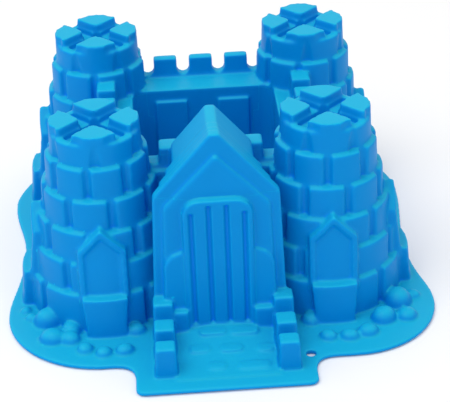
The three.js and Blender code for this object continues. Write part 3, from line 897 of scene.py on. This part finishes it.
@dataclass
class Gatehouse:
    """The gabled gatehouse with a plank door, rounded shoulders and foot blocks."""

    front: float = -112.0
    base_half: float = 40.6
    eave_half: float = 36.8
    apex: float = 134.6
    pitch: float = 1.10
    wall: float = 2.0
    gable_front: float = -115.0
    shoulder_front: float = -117.6
    door_front: float = -119.4
    foot_front: float = -122.4
    foot_top: float = 21.5
    band_drop: float = 2.1
    planks: tuple[float, ...] = (-15.5, -5.2, 5.2, 15.5)
    plank_gap: float = 3.8
    plank_depth: float = 2.4
    door_half: float = 20.4
    door_top: float = 94.5
    door_corner: float = 10.0
    bands: tuple[tuple[float, float, float], ...] = (
        (-112.0, -104.5, 36.8),
        (-109.0, -96.5, 32.6),
        (-101.0, -86.5, 28.4),
        (-91.0, -60.0, 24.2),
    )

    def band_outline(self, half: float, drop: float, grow: float) -> list[tuple[float, float]]:
        """The front view of one roof band."""
        apex = self.apex - drop + 1.5 * grow
        low = 0.0 if grow == 0 else BELOW
        eave = self.apex - drop - self.pitch * half + 0.5 * grow
        spread = self.base_half - self.eave_half
        outline = house(half + spread + grow, half + grow, low, eave, apex)
        ridge = [(2.6, apex - 1.5), (-2.6, apex - 1.5)]
        return outline[:3] + ridge + outline[4:]

    def shell(self, grow: float) -> list[bpy.types.Object]:
        """Telescoping roof bands and their walls."""
        made = []
        for i, (start, end, half) in enumerate(self.bands):
            begin = start - grow if i == 0 else start
            lump = Bench.prism(self.band_outline(half, self.band_drop * i, grow), begin, end + grow, False)
            made.append(Bench.bevelled(lump, 1.1) if grow == 0 else lump)
        return made

    def shoulder(self, side: int, grow: float) -> bpy.types.Object:
        """The rounded panel beside the door."""
        low = 0.0 if grow == 0 else BELOW
        outline = [(side * (17 - grow), low), (side * (33.6 + grow), low), (side * (32.6 + grow), 50 + grow)]
        outline += [(side * (31.2 + grow), 54 + grow), (side * 27.5, 57.6 + grow)]
        outline += [(side * 21.5, 60.2 + grow), (side * (17 - grow), 60.2 + grow)]
        lump = Bench.prism(outline, self.shoulder_front - grow, self.front + 4, False)
        return Bench.bevelled(lump, 1.2) if grow == 0 else lump

    def door_outline(self, grow: float) -> list[tuple[float, float]]:
        """The front view of the door."""
        half = self.door_half + grow
        top = self.door_top + grow
        low = 0.0 if grow == 0 else BELOW
        r = self.door_corner
        head = arc(half - r, top - r, r, 0, 90) + arc(-half + r, top - r, r, 90, 180)
        return [(-half, low), (half, low)] + head

    def lumps(self) -> list[bpy.types.Object]:
        """Lumps of the outside."""
        made = self.shell(0.0)
        gable = Bench.prism(house(34.2, 31.2, 0, 88.3, 121.2), self.gable_front, self.front + 4, False)
        made.append(Bench.bevelled(gable, 1.7))
        door = Bench.prism(self.door_outline(0.0), self.door_front, self.front + 4, False)
        made.append(Bench.bevelled(door, 1.4))
        for side in (-1, 1):
            made.append(self.shoulder(side, 0.0))
            near, far = sorted((side * 19.5, side * 30.5))
            made.append(Bench.block((near, self.foot_front, 0), (far, self.front + 4, self.foot_top), 1.4))
        return made

    def cutters(self) -> list[bpy.types.Object]:
        """V grooves between the door's planks."""
        made = []
        half = self.plank_gap / 2
        back = self.door_front + self.plank_depth
        for x in self.planks:
            outline = [(x - half, self.door_front), (x - half - 0.8, self.door_front - 2)]
            outline += [(x + half + 0.8, self.door_front - 2), (x + half, self.door_front)]
            outline += [(x + 0.6, back), (x - 0.6, back)]
            groove = Bench.prism(outline, 10.8, self.door_top - 3.2 - (4.5 if abs(x) > 10 else 0), True)
            made.append(groove)
        return made

    def hollow(self) -> list[bpy.types.Object]:
        """Lumps of the space inside."""
        made = self.shell(-self.wall)
        made.append(Bench.prism(house(32, 29, BELOW, 87, 118), self.front + 0.8, self.front + 6, False))
        start = self.door_front + self.plank_depth + 2
        made.append(Bench.prism(self.door_outline(-3.0), start, self.front + 6, False))
        return made


@dataclass
class Bridge:
    """The paved bridge that rises to the door, between two parapets with square blocks."""

    middle: float = 1.2
    front: float = -159.5
    back: float = -112.0
    inner: float = 29.6
    outer: float = 41.6
    deck_front: float = -163.5
    deck_low: float = 3.9
    deck_rise: float = 6.4
    deck_crown: float = 2.6
    door: float = -119.4
    low: float = 13.0
    wall: float = 2.0
    blocks: tuple[tuple[float, float, float], ...] = (
        (-159.5, -148.5, 22.0),
        (-141.0, -128.5, 23.0),
        (-122.5, -111.0, 28.0),
    )
    stones: tuple[tuple[float, float, float], ...] = (
        (-15.0, 0.8, -125.0),
        (3.2, 20.0, -125.6),
        (-21.5, -9.5, -138.4),
        (-3.5, 9.5, -139.2),
        (18.0, 28.0, -140.0),
        (-11.0, -1.0, -153.6),
        (6.0, 24.5, -154.6),
    )

    def deck_height(self, x: float, y: float) -> float:
        """How high the deck is: it rises and crowns towards the door."""
        along = min(1.0, max(0.0, (y - self.deck_front) / (self.door - self.deck_front)))
        return self.deck_low + (self.deck_rise - self.deck_crown * (x / self.inner) ** 2) * along**1.6

    def lumps(self) -> list[bpy.types.Object]:
        """Lumps of the deck, its paving stones, parapets and blocks."""
        made = [self.deck()] + self.paving()
        for side in (-1, 1):
            near, far = sorted((side * self.inner, side * self.outer))
            made.append(Bench.block((near, self.front + 1.5, 0), (far, self.back, self.low), 1.2))
            made.append(Bench.block((near, -130, 0), (far, self.back, self.low + 4), 1.2))
            for start, end, top in self.blocks:
                made.append(self.block(near, far, start, end, top))
        for lump in made:
            lump.data.transform(Matrix.Translation((self.middle, 0, 0)))
        return made

    def deck(self) -> bpy.types.Object:
        """The deck, whose top is drawn up to the door."""
        deck = Bench.block((-self.inner - 1, self.deck_front, 0), (self.inner + 1, -110, self.deck_low))
        bpy.ops.object.mode_set(mode="EDIT")
        bpy.ops.mesh.select_all(action="SELECT")
        bpy.ops.mesh.subdivide(number_cuts=16)
        bpy.ops.object.mode_set(mode="OBJECT")
        for vertex in deck.data.vertices:
            if vertex.co.z > self.deck_low - 0.01:
                vertex.co.z = self.deck_height(vertex.co.x, vertex.co.y)
        return deck

    def block(self, near: float, far: float, start: float, end: float, top: float) -> bpy.types.Object:
        """A square block that is a little wider at its foot."""
        lump = Bench.block((near, start, 0), (far, end, top))
        for vertex in lump.data.vertices:
            if vertex.co.z < 1:
                vertex.co.y += 1.2 if vertex.co.y > (start + end) / 2 else -1.2
                vertex.co.x += 0.8 if vertex.co.x > (near + far) / 2 else -0.8
        return Bench.bevelled(lump, 1.5)

    def paving(self) -> list[bpy.types.Object]:
        """Scattered paving stones, worn round."""
        made = []
        for left, right, y in self.stones:
            plan = rounded([(left, y - 3.6), (right, y - 3.6), (right, y + 3.6), (left, y + 3.6)], 3.4)
            top = self.deck_height((left + right) / 2, y) + 1.0
            made.append(Bench.bevelled(Bench.prism(plan, top - 3, top, True), 0.6))
        return made

    def hollow(self) -> list[bpy.types.Object]:
        """Lumps of the space inside the parapets."""
        made = []
        for side in (-1, 1):
            near, far = sorted((side * (self.inner + self.wall), side * (self.outer - self.wall)))
            made.append(Bench.block((near, self.front + 3, BELOW), (far, self.back, self.low - self.wall)))
            for start, end, top in self.blocks:
                low = (near, start + self.wall, BELOW)
                made.append(Bench.block(low, (far, end - self.wall, top - self.wall)))
        for lump in made:
            lump.data.transform(Matrix.Translation((self.middle, 0, 0)))
        return made


@dataclass(frozen=True)
class Boulder:
    """One boulder.

    Attributes:
        x: Place across.
        y: Place in depth.
        radius: Its radius.
        tall: Its height for its radius.
    """

    x: float
    y: float
    radius: float
    tall: float = 0.95


@dataclass
class Boulders:
    """Groups of rounded boulders round the feet of the towers."""

    front_left: tuple[Boulder, ...] = (
        Boulder(-51.5, -111.0, 6.0),
        Boulder(-58.4, -130.8, 5.6),
        Boulder(-70.7, -132.0, 5.2),
        Boulder(-81.8, -127.2, 5.2),
        Boulder(-90.5, -107.5, 6.5, 1.1),
        Boulder(-91.0, -116.0, 6.2),
        Boulder(-101.5, -114.0, 7.8),
        Boulder(-104.5, -95.5, 8.6, 1.15),
        Boulder(-115.0, -91.0, 4.2),
        Boulder(-119.0, -83.0, 3.8),
    )
    front_right: tuple[Boulder, ...] = (
        Boulder(54.0, -112.0, 6.2),
        Boulder(62.4, -129.8, 5.4),
        Boulder(74.8, -130.8, 5.8),
        Boulder(86.4, -127.4, 6.2),
        Boulder(97.8, -114.5, 7.8, 1.1),
        Boulder(112.0, -113.5, 6.6),
        Boulder(109.0, -97.5, 8.8, 1.15),
        Boulder(119.5, -92.0, 4.6),
    )
    rear: tuple[Boulder, ...] = (
        Boulder(111.5, 85.0, 6.2),
        Boulder(105.0, 93.5, 7.0, 1.05),
        Boulder(96.0, 101.5, 7.0),
        Boulder(86.5, 108.0, 5.4),
    )

    def lumps(self) -> list[bpy.types.Object]:
        """The boulders of all four corners."""
        stones = list(self.front_left + self.front_right + self.rear)
        stones += [Boulder(-stone.x, stone.y, stone.radius, stone.tall) for stone in self.rear]
        made = []
        for i, stone in enumerate(stones):
            size = (stone.radius * 1.06, stone.radius * 0.97, stone.radius * stone.tall)
            made.append(Bench.ball((stone.x, stone.y, 2.4), size, 0.5 * i))
        return made


@dataclass(frozen=True)
class RimSide:
    """One side of the soft rim, measured from the middle plane.

    Attributes:
        front: The front lobe's centre and radius.
        waist: The narrowest place.
        rear: The widest place of the rear lobe.
    """

    front: tuple[float, float, float]
    waist: tuple[float, float]
    rear: tuple[float, float]


@dataclass
class Rim:
    """The wavy rim: a lobe round each tower, waists between them and a tab under the bridge."""

    thick: float = 3.0
    left: RimSide = RimSide((69.5, -84.5, 60.0), (122.8, -16.0), (132.0, 52.0))
    right: RimSide = RimSide((78.0, -93.2, 54.0), (124.3, -35.0), (130.5, 46.0))
    end: tuple[float, float] = (68.0, 121.5)
    rear_waist: float = 110.0
    tab_half: float = 52.5
    tab_front: float = -172.8
    tab_corner: float = 5.0
    fillet: float = 14.0
    hole_x: float = 50.3
    hole_y: float = -144.5
    hole_radius: float = 2.9

    def half_outline(self, side: RimSide) -> list[tuple[float, float]]:
        """One side of the outline, from the middle of the tab round to the middle of the rear."""
        lobe_x, lobe_y, radius = side.front
        front = lobe_y - radius
        c, f, tab = self.tab_corner, self.fillet, self.tab_half
        points = [(0.0, self.tab_front)] + arc(tab - c, self.tab_front + c, c, -90, 0, 6)
        points.append((tab, front - f))
        points += bezier((tab, front - f), (tab, front - 4), (tab + 4, front), (tab + f, front), 8)
        points += arc(lobe_x, lobe_y, radius, -90, 0, 24)
        outer = (lobe_x + radius, lobe_y)
        waist_x, waist_y = side.waist
        run = waist_y - lobe_y
        points += bezier(outer, (outer[0], lobe_y + 0.3 * run), (waist_x, waist_y - 0.55 * run), side.waist)
        rear_x, rear_y = side.rear
        rise = 0.4 * (rear_y - waist_y)
        points += bezier(side.waist, (waist_x, waist_y + rise), (rear_x, rear_y - rise), side.rear)
        end_x, end_y = self.end
        points += bezier(side.rear, (rear_x, rear_y + 16), (rear_x - 21, end_y), self.end, 20)
        points += bezier(self.end, (end_x - 26, end_y), (26, self.rear_waist), (0, self.rear_waist))
        return points

    def lumps(self) -> list[bpy.types.Object]:
        """The rim plate."""
        right = self.half_outline(self.right)
        left = [(-x, y) for x, y in reversed(self.half_outline(self.left)[1:-1])]
        return [Bench.bevelled(Bench.prism(right + left, 0, self.thick, True), 1.2)]

    def cutters(self) -> list[bpy.types.Object]:
        """The hanging hole."""
        return [Bench.post(self.hole_x, self.hole_y, self.hole_radius, self.hole_radius, -5, 12, 32)]


# ---------------------------------------------------------------- the whole moulding


class Moulding:
    """Builds the outside and the hollow, and parts the shell into its pieces."""

    def __init__(self, axis_x: float, axis_y: float) -> None:
        """Args:
            axis_x: Distance of the tower axes from the middle plane.
            axis_y: Distance of the tower axes from the middle between front and rear towers.
        """
        self.voxel = 0.8
        self.hollow_voxel = 1.5
        front_left = Tower("front_left", -axis_x, -axis_y, (Facing.FRONT, Facing.LEFT), -10.5, 13.3, 0.0)
        front_right = Tower("front_right", axis_x, -axis_y, (Facing.FRONT, Facing.RIGHT), -4.0, 17.2, 30.0)
        rear_left = Tower("rear_left", -axis_x, axis_y, (Facing.REAR, Facing.LEFT), -4.0, 17.2, 30.0)
        rear_right = Tower("rear_right", axis_x, axis_y, (Facing.REAR, Facing.RIGHT), -10.5, 13.3, 0.0)
        self.towers = (front_left, front_right, rear_left, rear_right)
        self.keep = Keep()
        self.gatehouse = Gatehouse()
        self.bridge = Bridge()
        self.boulders = Boulders()
        self.rim = Rim()

    def outside(self) -> bpy.types.Object:
        """Melts all outer lumps into one soft solid and carves its recesses."""
        lumps = []
        for tower in self.towers:
            lumps += tower.lumps()
        keep = Bench.fuse(self.keep.lumps(), "keep")
        Bench.skin(keep, self.voxel, 0)
        solid = Bench.fuse(lumps, "towers")
        Bench.skin(solid, self.voxel, 0)
        Bench.work(solid, keep, Op.ADD)
        Bench.work(solid, self.keep.well(0.0), Op.CUT)
        others = self.gatehouse.lumps() + self.bridge.lumps() + self.boulders.lumps() + self.rim.lumps()
        solid = Bench.fuse([solid] + others, "outside")
        Bench.skin(solid, self.voxel, 0)
        cutters = self.keep.cutters() + self.gatehouse.cutters() + self.rim.cutters()
        for tower in self.towers:
            cutters += tower.cutters()
        Bench.work(solid, Bench.fuse(cutters, "cutters"), Op.CUT)
        Bench.work(solid, Bench.block((-200, -200, -30), (200, 200, 0)), Op.CUT)
        Bench.skin(solid, self.voxel, 4)
        LOG.info("outside: %d faces", len(solid.data.polygons))
        return solid

    def inside(self) -> bpy.types.Object:
        """Melts the spaces under the moulding into one solid."""
        lumps = self.keep.hollow() + self.gatehouse.hollow() + self.bridge.hollow()
        for tower in self.towers:
            lumps += tower.hollow() + tower.crown_merlons()
        solid = Bench.fuse(lumps, "inside")
        Bench.skin(solid, self.hollow_voxel, 2)
        Bench.work(solid, self.keep.well(self.keep.wall), Op.CUT)
        LOG.info("inside: %d faces", len(solid.data.polygons))
        return solid

    def rooms(self) -> list[tuple[str, list[str], bpy.types.Object]]:
        """The regions of the pieces in the order in which they are parted.

        Returns:
            For each piece its name, the nodes that it stands for, and its region.
        """
        made = []
        for tower in self.towers:
            made.append((f"crown_skin_{tower.name}", [f"crown_{tower.name}"], tower.crown_room()))
        made.append(("door_skin", ["gate_door"], Bench.block((-20.8, -121, 7), (20.8, -115.3, 95.4))))
        made.append(("roof_skin", ["gatehouse_roof"], Bench.block((-38, -118, 94.6), (38, -58, 140))))
        for tower in self.towers:
            names = [f"tower_base_{tower.name}", f"tower_{tower.name}"]
            names += [f"window_bay_{tower.name}_{self.label(facing)}" for facing in tower.bays]
            made.append((f"tower_skin_{tower.name}", names, tower.room()))
        for side, near, far in (("left", -43, -28.2), ("right", 30.6, 45)):
            region = Bench.block((near, -162, 4.6), (far, -112.4, 30))
            made.append((f"{side}_parapet_skin", [f"bridge_parapet_{side}"], region))
        gate = Bench.prism([(-43, 0), (43, 0), (38, 94.6), (-38, 94.6)], -119.8, -58, False)
        for near, far in ((-31, -19), (19, 31)):
            Bench.work(gate, Bench.block((near, -124, 4), (far, -110, 23)), Op.ADD)
        made.append(("gatehouse_skin", ["gatehouse_walls"], gate))
        keep = self.keep
        region = Bench.prism(keep.plan(2.4), 10, keep.ledge - 0.6, True)
        made.append(("well_skin", ["courtyard_well"], region))
        made.append(("rear_wall_skin", ["rear_wall"], Bench.block((-60, 44, -1), (60, 92, 105))))
        made.append(("left_wall_skin", ["left_wall"], Bench.block((-90, -40, -1), (-40, 50, 105))))
        made.append(("right_wall_skin", ["right_wall"], Bench.block((40, -40, -1), (90, 50, 105))))
        region = Bench.block((-50, -80, -1), (50, -40, 105))
        made.append(("front_wall_skin", ["front_wall_left", "front_wall_right"], region))
        made.append(("deck_skin", ["bridge_deck"], Bench.block((-28.2, -164.2, 3.2), (30.6, -100, 30))))
        for tower in self.towers:
            near, far = sorted((math.copysign(40, tower.x), math.copysign(140, tower.x)))
            low, high = (-145, -20) if tower.y < 0 else (20, 130)
            region = Bench.block((near, low, 3.3), (far, high, 30))
            made.append((f"boulders_skin_{tower.name}", [f"boulders_{tower.name}"], region))
        return made

    @staticmethod
    def label(facing: Facing) -> str:
        """The word for a bay's side in the node names."""
        return {Facing.FRONT: "front", Facing.REAR: "rear"}.get(facing, "side")

    def build(self) -> list[tuple[bpy.types.Object, list[str]]]:
        """Builds the shell and parts it.

        Returns:
            The pieces, each with the nodes that it stands for.
        """
        rest = self.outside()
        Bench.work(rest, self.inside(), Op.CUT)
        LOG.info("hollowed")
        parted = []
        taken = None
        for name, nodes, room in self.rooms():
            whole = Bench.copy(room, Matrix.Identity(4))
            if taken is not None:
                Bench.work(room, taken, Op.CUT, spend=False)
            piece = Bench.copy(rest, Matrix.Identity(4))
            piece.name = name
            Bench.work(piece, room, Op.KEEP)
            taken = whole if taken is None else Bench.work(taken, whole, Op.ADD)
            parted.append((piece, nodes))
        Bench.work(rest, taken, Op.CUT)
        rest.name = "rim_skin"
        parted.append((rest, ["rim_flange"]))
        return parted


# ---------------------------------------------------------------- stage


@dataclass
class Studio:
    """Floor, light and camera."""

    distance: float = 989.27
    aside: float = 9.83
    height: float = 24.76
    yaw: float = 2.53
    elevation: float = 30.21
    roll: float = -2.25
    lens: float = 120.0

    def floor(self) -> None:
        """A plain pale floor."""
        Bench.clear()
        bpy.ops.mesh.primitive_plane_add(size=12, location=(0, 0, -0.0002))
        floor = Bench.settle("floor")
        floor.data.materials.append(Tabletop().make())

    def lamp(
        self, name: str, place: Sequence[float], aim: Sequence[float], size: float, power: float
    ) -> None:
        """A soft square lamp.

        Args:
            name: Its name.
            place: Where it hangs.
            aim: What it points at.
            size: Its side.
            power: Its power in watts.
        """
        light = bpy.data.lights.new(name, "AREA")
        light.size = size
        light.energy = power
        lamp = bpy.data.objects.new(name, light)
        lamp.location = place
        lamp.rotation_euler = (Vector(aim) - Vector(place)).to_track_quat("-Z", "Y").to_euler()
        bpy.context.scene.collection.objects.link(lamp)

    def lights(self) -> None:
        """Broad overhead light, a weaker front fill and a pale surround."""
        self.lamp("overhead", (-0.5, -0.4, 1.5), (0, 0, 0.05), 1.2, 10.5)
        self.lamp("front", (-0.9, -1.6, 0.9), (0, 0, 0.05), 1.2, 0.8)
        bpy.context.scene.view_settings.view_transform = "Standard"
        world = bpy.context.scene.world or bpy.data.worlds.new("surround")
        bpy.context.scene.world = world
        world.use_nodes = True
        back = world.node_tree.nodes["Background"]
        back.inputs["Color"].default_value = (1.0, 1.0, 1.0, 1)
        back.inputs["Strength"].default_value = 0.85

    def camera(self, shift_y: float) -> None:
        """Sets the camera that looks down at the gate side.

        Args:
            shift_y: How far the part's frame is from the bench's, in Y, in millimetres.
        """
        yaw, elevation, roll = (math.radians(v) for v in (self.yaw, self.elevation, self.roll))
        forward = Vector(
            (math.sin(yaw) * math.cos(elevation), math.cos(yaw) * math.cos(elevation), -math.sin(elevation))
        )
        right = Vector((math.cos(yaw), -math.sin(yaw), 0))
        up = right.cross(forward)
        across = right * math.cos(roll) + up * math.sin(roll)
        upward = up * math.cos(roll) - right * math.sin(roll)
        place = Vector((self.aside, 0, self.height)) - forward * self.distance + Vector((0, shift_y, 0))
        turn = Matrix((across, upward, -forward)).transposed().to_4x4()
        data = bpy.data.cameras.new("camera")
        data.lens = self.lens
        data.sensor_width = 36
        camera = bpy.data.objects.new("camera", data)
        camera.matrix_world = Matrix.Translation(place * MILLIMETRE) @ turn
        bpy.context.scene.collection.objects.link(camera)
        bpy.context.scene.camera = camera


def main() -> None:
    """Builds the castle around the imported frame."""
    logging.basicConfig(level=logging.INFO, format="%(asctime)s %(message)s")
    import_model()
    low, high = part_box("crown_front_right")
    rear_low, rear_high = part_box("crown_rear_right")
    axis_x = (low.x + high.x) / 2 / MILLIMETRE
    front_y = (low.y + high.y) / 2 / MILLIMETRE
    rear_y = (rear_low.y + rear_high.y) / 2 / MILLIMETRE
    shift_y = (front_y + rear_y) / 2

    studio = Studio()
    studio.floor()
    studio.lights()
    studio.camera(shift_y)

    finish = Silicone().make()
    moulding = Moulding(axis_x, (rear_y - front_y) / 2)
    place = Matrix.Scale(MILLIMETRE, 4) @ Matrix.Translation((0, shift_y, 0))
    for piece, nodes in moulding.build():
        piece.data.transform(place)
        piece.data.materials.clear()
        piece.data.materials.append(finish)
        Bench.pick(piece)
        bpy.ops.object.shade_smooth_by_angle(angle=math.radians(50))
        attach(piece, "root")
        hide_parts(*nodes)
        LOG.info("%s: %d faces", piece.name, len(piece.data.polygons))


if __name__ == "__main__":
    main()
